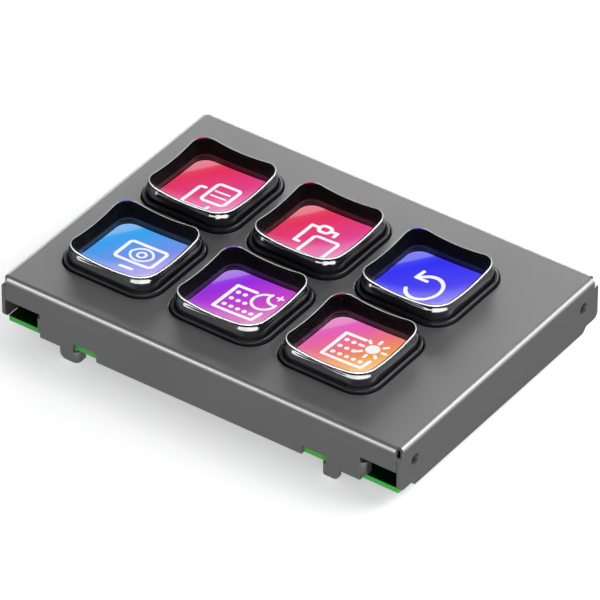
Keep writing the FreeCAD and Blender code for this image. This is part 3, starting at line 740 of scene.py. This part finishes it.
def makeShell(number):
    centre = keyCentre(number)
    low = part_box("key_shell_%d" % number)[0].z
    top = plateTop + keyCap["rim"] - keyCap["lip"] + keyCap["bond"]
    foot = keyCap["half"] + keyCap["flare"]
    reach, thick = keyCap["flange"]
    corner = keyCap["corner"] + keyCap["flare"]
    shell = roundedBlock("keyShell_%d" % number, centre, foot + reach, corner + reach,
                         low, low + thick, keyCap["steps"])
    splitFlats(shell, centre)
    select(shell, "FACE", facesUp)
    insetFace(reach)
    level = low + thick
    for ring in keyCap["rings"]:
        raiseFace(plateTop + ring * mm - level)
        level = plateTop + ring * mm
    raiseFace(top - level)
    insetFace(keyCap["flare"] + keyCap["wall"] + keyCap["bond"])
    raiseFace(low - top)
    bridgeFaces(shell, atLevel(low))
    shapeShell(shell, centre, low + thick + keyCap["aboveFlange"], top)
    liftToDish(shell, centre, plateTop + keyCap["liftStart"], top)
    smooth(shell, 40)
    finishPiece(shell, materials["shell_black"], "key_%d" % number, "shell_black", "key_shell_%d" % number)
    shell.data.materials.append(materials["liner"])
    for face in shell.data.polygons:
        inward = Vector((centre[0], centre[1], 0)) - Vector((face.center.x, face.center.y, 0))
        if abs(face.normal.z) < 0.1 and face.normal.dot(inward) > 0:
            face.material_index = 1


paintedRimGlint = {
    # grey base colour: a painted highlight line along the rim
    "color": (0.42, 0.42, 0.44), "dark": (0.03, 0.03, 0.03), "rough": 0.12,
    # dark colour and glowing picture colours: the painted glint at each rim's rear left corner
    "start": 10.8 * mm, "end": 11.0 * mm,
    "colors": [(0.55, 0.02, 0.06), (0.55, 0.02, 0.06), (0.03, 0.03, 0.55),
               (0.02, 0.06, 0.5), (0.16, 0.02, 0.5), (0.5, 0.05, 0.16)],
}


def rimMaterial(number):
    # Beyond a distance towards its rear left corner the rim is painted dark and glows in the picture's
    # colour: a painted glint of the picture seen through the clear edge; elsewhere it keeps its painted grey
    # highlight
    material = mouldedPlastic("polishedRim_%d" % number, paintedRimGlint["color"], paintedRimGlint["rough"])
    nodes, links = material.node_tree.nodes, material.node_tree.links
    shader = nodes["Principled BSDF"]
    place = nodes.new("ShaderNodeTexCoord")
    offset = nodes.new("ShaderNodeVectorMath")
    offset.operation = "SUBTRACT"
    offset.inputs[1].default_value = (*keyCentre(number), 0)
    along = nodes.new("ShaderNodeVectorMath")
    along.operation = "DOT_PRODUCT"
    along.inputs[1].default_value = (-math.sqrt(0.5), math.sqrt(0.5), 0)
    share = nodes.new("ShaderNodeMapRange")
    share.inputs["From Min"].default_value = paintedRimGlint["start"]
    share.inputs["From Max"].default_value = paintedRimGlint["end"]
    blend = nodes.new("ShaderNodeMix")
    blend.data_type = "RGBA"
    blend.inputs["A"].default_value = (*paintedRimGlint["color"], 1)
    blend.inputs["B"].default_value = (*paintedRimGlint["dark"], 1)
    links.new(place.outputs["Object"], offset.inputs[0])
    links.new(offset.outputs["Vector"], along.inputs[0])
    links.new(along.outputs["Value"], share.inputs["Value"])
    links.new(share.outputs["Result"], blend.inputs["Factor"])
    links.new(blend.outputs["Result"], shader.inputs["Base Color"])
    links.new(share.outputs["Result"], shader.inputs["Emission Strength"])
    shader.inputs["Emission Color"].default_value = (*paintedRimGlint["colors"][number - 1], 1)
    return material


def makeBead(number):
    # The edge of the cap: a rounded bead whose gloss is real and whose grey colour is a painted highlight
    # line along the rim
    centre = keyCentre(number)
    flat = plateTop + keyCap["rim"]
    size, edge = keyCap["bead"], keyCap["edge"] + keyCap["bond"] / 2
    half = keyCap["half"] + keyCap["bond"] / 2
    bead = roundedBlock("keyRim_%d" % number, centre, half, keyCap["corner"],
                        flat - size, flat - edge, keyCap["steps"])
    splitFlats(bead, centre)
    select(bead, "FACE", facesUp)
    roundRim(edge)
    insetFace(keyCap["beadTop"])
    raiseFace(-size)
    bridgeFaces(bead, atLevel(flat - size))
    liftToDish(bead, centre, flat - size - 2 * tiny, flat - size - tiny)
    for vertex in bead.data.vertices:
        vertex.co.z += keyCap["bond"] / 2
    smooth(bead, 50)
    finishPiece(bead, rimMaterial(number), "key_%d" % number, "clear_lens")


# The soft return boots, built at rest; in the real device the keys fold them down as they are pressed

boots = {"corner": 3.0 * mm, "wall": 0.45 * mm, "lean": 0.3 * mm, "rings": 6, "steps": 8}


def makeBoot(number):
    node = "return_boot_%d" % number
    low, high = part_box(node)
    centre = ((low.x + high.x) / 2, (low.y + high.y) / 2)
    rings, width = boots["rings"], high.x - low.x
    rise = (high.z - low.z) / rings
    size = 1 - boots["lean"] / (rings - 1) / width * 2
    boot = roundedBlock("returnBoot_%d" % number, centre, width / 2, boots["corner"],
                        low.z, low.z + rise, boots["steps"])
    select(boot, "FACE", facesUp)
    for ring in range(rings - 1):
        raiseFace(rise)
        bpy.ops.transform.resize(value=(size, size, 1), center_override=(*centre, 0))
    insetFace(boots["wall"])
    for ring in range(rings):
        raiseFace(-rise)
    bridgeFaces(boot, atLevel(low.z))
    smooth(boot)
    boot.data.materials.append(materials["soft_boot"])
    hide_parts(node)
    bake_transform(boot)


for number in keyNumbers:
    makeCap(number)
    makeShell(number)
    makeBead(number)
    makeBoot(number)
print("keys and boots made")


# The lit pictures on the display

# Each picture's colours are stops along its gradient, which is turned by an angle in degrees and spans
# a number of half widths. The painted reflection stops add white at both ends: a painted reflection of the
# display glass, pale at the rear left corner and at the front right one
redToPink = [(0.15, (0.81, 0.03, 0.10)), (0.5, (0.80, 0.05, 0.24)), (0.85, (0.80, 0.09, 0.45))]
pictures = {
    "half": 8.58 * mm, "corner": 2.85 * mm, "thick": 0.02 * mm, "glow": 1.0, "turn": 33, "span": 2.4,
    "paintedReflection": [(0.0, 0.22), (0.08, 0.18), (0.11, 0.03), (0.2, 0.0), (0.76, 0.0), (0.95, 0.3)],
    "colors": {
        1: redToPink,
        2: redToPink,
        3: [(0.15, (0.03, 0.03, 0.93)), (0.5, (0.06, 0.05, 0.92)), (0.85, (0.13, 0.09, 0.87))],
        4: [(0.15, (0.03, 0.37, 0.90)), (0.5, (0.16, 0.31, 0.86)), (0.85, (0.42, 0.28, 0.82))],
        5: [(0.15, (0.29, 0.02, 0.78)), (0.5, (0.55, 0.05, 0.62)), (0.85, (0.74, 0.11, 0.46))],
        6: [(0.15, (0.81, 0.11, 0.50)), (0.45, (0.88, 0.20, 0.21)),
            (0.65, (0.92, 0.34, 0.06)), (0.85, (0.92, 0.50, 0.06))],
    },
}


def pictureColor(material, number):
    # The picture's colour across a key, from its rear left corner to its front right one, with the white of a
    # painted reflection mixed in at both ends
    nodes, links = material.node_tree.nodes, material.node_tree.links
    place = nodes.new("ShaderNodeTexCoord")
    mapping = nodes.new("ShaderNodeMapping")
    centre = keyCentre(number)
    span = pictures["span"] * pictures["half"]
    angle = math.radians(pictures["turn"])
    mapping.vector_type = "TEXTURE"
    mapping.inputs["Rotation"].default_value = (0, 0, -angle)
    mapping.inputs["Location"].default_value = (centre[0] - span * math.cos(angle) / 2,
                                                centre[1] + span * math.sin(angle) / 2, 0)
    mapping.inputs["Scale"].default_value = (span, span, 1)
    gradient = nodes.new("ShaderNodeTexGradient")
    ramp = nodes.new("ShaderNodeValToRGB")
    fillRamp(ramp, pictures["colors"][number])
    # painted reflection: white mixed into the picture at both ends of its gradient
    paintedReflection = nodes.new("ShaderNodeValToRGB")
    fillRamp(paintedReflection, [(position, (share,) * 3) for position, share in pictures["paintedReflection"]])
    blend = nodes.new("ShaderNodeMix")
    blend.data_type = "RGBA"
    blend.inputs["B"].default_value = (1, 1, 1, 1)
    links.new(place.outputs["Object"], mapping.inputs["Vector"])
    links.new(mapping.outputs["Vector"], gradient.inputs["Vector"])
    links.new(gradient.outputs["Fac"], ramp.inputs["Fac"])
    links.new(gradient.outputs["Fac"], paintedReflection.inputs["Fac"])
    links.new(ramp.outputs["Color"], blend.inputs["A"])
    links.new(paintedReflection.outputs["Color"], blend.inputs["Factor"])
    return blend.outputs["Result"]


def pictureMaterial(number):
    material, shader = startMaterial("litPicture_%d" % number, (0, 0, 0), 0.3)
    material.node_tree.links.new(pictureColor(material, number), shader.inputs["Emission Color"])
    shader.inputs["Emission Strength"].default_value = pictures["glow"]
    return material


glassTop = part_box("display_glass")[1].z
for number in keyNumbers:
    panel = roundedBlock("litPicture_%d" % number, keyCentre(number), pictures["half"], pictures["corner"],
                         glassTop, glassTop + pictures["thick"])
    finishPiece(panel, pictureMaterial(number), "chassis", "display_glass")
print("pictures made")


# White pictograms on the lit pictures, drawn in millimetres round the middle of each key

pictogram = {
    "line": 0.75, "thick": 0.02, "lift": 0.01, "shift": (0.1, -0.2), "color": (1, 0.97, 0.96), "glow": 1.0,
}


def joinAll(name, pieces):
    activate(pieces[0])
    for piece in pieces:
        piece.select_set(True)
    bpy.ops.object.join()
    pieces[0].name = name
    return pieces[0]


def iconLevels():
    low = glassTop + pictures["thick"] + pictogram["lift"] * mm
    return low, low + pictogram["thick"] * mm


def dot(x, y, radius, steps=24):
    low, high = iconLevels()
    return addRod("dot", (x * mm, y * mm, low), (x * mm, y * mm, high), radius * mm, steps)


def stroke(x0, y0, x1, y1, width=pictogram["line"]):
    # A straight line with round ends
    low, high = iconLevels()
    length = math.hypot(x1 - x0, y1 - y0)
    bar = addBlock("stroke", (0, -width * mm / 2, low), (length * mm, width * mm / 2, high))
    bar.rotation_euler.z = math.atan2(y1 - y0, x1 - x0)
    bar.location = (x0 * mm, y0 * mm, 0)
    applyPlace()
    return [bar, dot(x0, y0, width / 2), dot(x1, y1, width / 2)]


def path(*points):
    pieces = []
    for (x0, y0), (x1, y1) in zip(points, points[1:]):
        pieces += stroke(x0, y0, x1, y1)
    return pieces


def bow(x, y, radius, first, last, width=pictogram["line"], steps=40, stretch=1.0):
    # An arc between two angles, as one face spun round its centre and stretched along y
    low, high = iconLevels()
    clearSelection()
    bpy.ops.mesh.primitive_plane_add(size=1)
    bend = bpy.context.object
    angle = math.radians(first)
    for vertex, (side, level) in zip(bend.data.vertices, ((-1, low), (1, low), (-1, high), (1, high))):
        reach = (radius + side * width / 2) * mm
        vertex.co = (x * mm + reach * math.cos(angle), y * mm + reach * math.sin(angle), level)
    selectAllIn(bend)
    bpy.ops.mesh.spin(steps=steps, angle=math.radians(last - first), center=(x * mm, y * mm, 0),
                      axis=(0, 0, -1), use_auto_merge=False)
    faceOutwards()
    bpy.ops.transform.resize(value=(1, stretch, 1), center_override=(x * mm, y * mm, 0))
    objectMode()
    ends = []
    for degrees in (first, last):
        a = math.radians(degrees)
        ends.append(dot(x + radius * math.cos(a), y + radius * math.sin(a) * stretch, width / 2))
    return [bend] + ends


def roundFrame(x0, y0, x1, y1, corner):
    pieces = []
    for cx, cy, first in ((x1 - corner, y1 - corner, 0), (x0 + corner, y1 - corner, 90),
                          (x0 + corner, y0 + corner, 180), (x1 - corner, y0 + corner, 270)):
        pieces += bow(cx, cy, corner, first, first + 90, steps=8)
    pieces += stroke(x0 + corner, y0, x1 - corner, y0) + stroke(x0 + corner, y1, x1 - corner, y1)
    pieces += stroke(x0, y0 + corner, x0, y1 - corner) + stroke(x1, y0 + corner, x1, y1 - corner)
    return pieces


def sheetsIcon():
    front = roundFrame(-0.9, -2.75, 4.3, 3.5, 0.8)
    lines = stroke(0, 1.1, 3.15, 1.15, 0.5) + stroke(0.1, -0.5, 3.35, -0.45, 0.5)
    back = path((-2.3, 1.0), (-2.8, 1.0)) + bow(-2.8, 0.4, 0.6, 90, 180, steps=8)
    back += path((-3.4, 0.4), (-3.4, -5.0)) + bow(-2.8, -5.0, 0.6, 180, 270, steps=8)
    back += path((-2.8, -5.6), (1.5, -5.6)) + bow(1.5, -5.0, 0.6, 270, 360, steps=8)
    back += path((2.1, -5.0), (2.1, -4.5))
    return front + lines + back


def clipboardIcon():
    board = path((-2.8, -2.65), (-3.8, -2.65), (-3.8, 3.3), (-2.2, 3.3))
    board += path((0.4, 3.4), (1.8, 3.4), (1.8, 2.2))
    return board + roundFrame(-2.1, 2.35, 0.3, 4.35, 0.8) + roundFrame(-1.25, -5.7, 4.15, 0.7, 0.7)


def arrowIcon():
    ring = bow(0.0, -0.95, 3.25, 207, 489, 0.72, stretch=1.25)
    return ring + path((-2.05, 2.25), (-3.3, 1.2), (-3.1, 3.5)) + path((-3.3, 1.2), (-0.9, 1.2))


def screenIcon():
    screen = roundFrame(-3.85, -1.4, 4.55, 4.45, 0.8)
    eye = bow(0.5, 1.0, 2.5, 11, 169, 0.5, 24) + bow(0.5, 2.0, 2.5, 191, 349, 0.5, 24)
    return screen + eye + bow(0.5, 1.5, 0.85, 0, 360, 0.5, 24) + path((-0.7, -3.6), (1.75, -3.5))


def keypadFrame():
    pieces = path((0.0, 4.75), (-4.2, 4.65), (-4.3, -3.2), (4.4, -3.25), (4.65, -0.5))
    for row, count in enumerate((5, 3, 2)):
        for column in range(count):
            pieces.append(dot(-2.9 + 1.52 * column, -1.6 + 2.27 * row, 0.5))
    return pieces


def moonIcon():
    moon = bow(2.95, 3.0, 2.45, 90, 360, 0.6) + bow(4.75, 4.95, 1.95, 157.4, 289.4, 0.6, 24)
    return keypadFrame() + moon + stroke(4.1, 5.5, 5.5, 5.5, 0.4) + stroke(4.8, 4.8, 4.8, 6.2, 0.4)


def sunIcon():
    x, y = 2.8, 3.0
    pieces = keypadFrame() + [dot(x, y, 1.4, 32)]
    for ray in range(8):
        across, along = math.cos(math.radians(45 * ray)), math.sin(math.radians(45 * ray))
        pieces += stroke(x + 2.1 * across, y + 2.1 * along, x + 2.9 * across, y + 2.9 * along, 0.65)
    return pieces


def iconMaterial():
    material, shader = startMaterial("litWhite", (0, 0, 0), 0.3)
    shader.inputs["Emission Color"].default_value = (*pictogram["color"], 1)
    shader.inputs["Emission Strength"].default_value = pictogram["glow"]
    return material


lit = iconMaterial()
icons = [sheetsIcon, clipboardIcon, arrowIcon, screenIcon, moonIcon, sunIcon]
for number, draw in zip(keyNumbers, icons):
    icon = joinAll("pictogram_%d" % number, draw())
    centre = keyCentre(number)
    for vertex in icon.data.vertices:
        vertex.co.x += centre[0] + pictogram["shift"][0] * mm
        vertex.co.y += centre[1] + pictogram["shift"][1] * mm
    finishPiece(icon, lit, "chassis", "display_glass")
print("pictograms made")


# Stage, light and camera

stage = {
    "floor": 2.5, "white": (0.9, 0.9, 0.91), "rough": 0.6, "glow": 0.45,
    "sky": [(-0.2, 0.17), (-0.02, 1.4), (0.3, 1.0), (0.42, 0.1)],  # sine of the height, radiance
}
panels = {  # place, aim, size and radiance
    "backLeft": ((-0.15, 0.43, 0.135), (-0.1, 0, 0), (0.9, 0.13), 5),
    "frontRight": ((0.38, -0.28, 0.10), (0, 0, 0), (0.6, 0.1), 4),
    "lowFront": ((0.155, -0.322, 0.085), (-0.058, -0.044, 0.015), (1.47, 0.13), 18),
    "overhead": ((0.5, 0.35, 0.55), (0, 0, 0), (0.5, 0.5), 6),
    "frontFold": ((-0.25, -0.36, 0.26), (0, 0, 0), (0.55, 0.08), 9),
}
camera = {
    "lens": 448.3, "clip": (0.01, 20), "place": (0.5945, -0.8372, 0.7819),
    "right": (0.81464, 0.57997, 0.00161), "back": (0.45949, -0.6471, 0.60838),
}


def makeStage():
    bpy.ops.mesh.primitive_plane_add(size=stage["floor"], location=(0, 0, 0))
    floor = bpy.context.object
    floor.name = "floor"
    material, shader = startMaterial("paleFloor", stage["white"], stage["rough"])
    shader.inputs["Emission Color"].default_value = (1, 1, 1, 1)
    shader.inputs["Emission Strength"].default_value = stage["glow"]
    floor.data.materials.append(material)
    floor.visible_glossy = False  # the metal mirrors the room and not the floor


def addPanel(name, place, aim, size, radiance):
    # A soft light panel of a given radiance
    light = bpy.data.lights.new(name, "AREA")
    light.shape = "RECTANGLE"
    light.size, light.size_y = size
    light.energy = radiance * math.pi * size[0] * size[1]
    holder = bpy.data.objects.new(name, light)
    holder.location = place
    holder.rotation_euler = (Vector(aim) - Vector(place)).to_track_quat("-Z", "Y").to_euler()
    bpy.context.scene.collection.objects.link(holder)


def limitPanel(name, test):
    # The panel lights only the pieces whose name passes the test
    receivers = bpy.data.collections.new(name + "Receivers")
    for thing in bpy.context.scene.objects:
        if thing.type == "MESH" and test(thing.name):
            receivers.objects.link(thing)
    bpy.data.objects[name].light_linking.receiver_collection = receivers


def makeWorld():
    # A wide bright band round the horizon, darker under it and overhead
    world = bpy.data.worlds.new("studio")
    bpy.context.scene.world = world
    world.use_nodes = True
    nodes, links = world.node_tree.nodes, world.node_tree.links
    place = nodes.new("ShaderNodeTexCoord")
    split = nodes.new("ShaderNodeSeparateXYZ")
    height = nodes.new("ShaderNodeMapRange")
    height.inputs["From Min"].default_value = -1
    ramp = nodes.new("ShaderNodeValToRGB")
    fillRamp(ramp, [((sine + 1) / 2, (radiance,) * 3) for sine, radiance in stage["sky"]])
    links.new(place.outputs["Generated"], split.inputs["Vector"])
    links.new(split.outputs["Z"], height.inputs["Value"])
    links.new(height.outputs["Result"], ramp.inputs["Fac"])
    links.new(ramp.outputs["Color"], nodes["Background"].inputs["Color"])
    nodes["Background"].inputs["Strength"].default_value = 1.0


def makeCamera():
    data = bpy.data.cameras.new("camera")
    data.lens = camera["lens"]
    data.clip_start, data.clip_end = camera["clip"]
    holder = bpy.data.objects.new("camera", data)
    right, back = Vector(camera["right"]).normalized(), Vector(camera["back"]).normalized()
    upward = back.cross(right)
    place = Vector(camera["place"]) + Vector((0, 0, plateTop))
    rows = [[right[i], upward[i], back[i], place[i]] for i in range(3)]
    holder.matrix_world = Matrix(rows + [[0, 0, 0, 1]])
    bpy.context.scene.collection.objects.link(holder)
    bpy.context.scene.camera = holder


makeStage()
makeWorld()
for name, values in panels.items():
    addPanel(name, *values)
limitPanel("frontFold", lambda name: name.startswith(cover.name))
limitPanel("backLeft", lambda name: not name.startswith("keyLens"))
limitPanel("lowFront", lambda name: name.startswith(("keyShell", "keyRim")))
makeCamera()
bpy.context.scene.view_settings.view_transform = "Standard"
print("stage made")
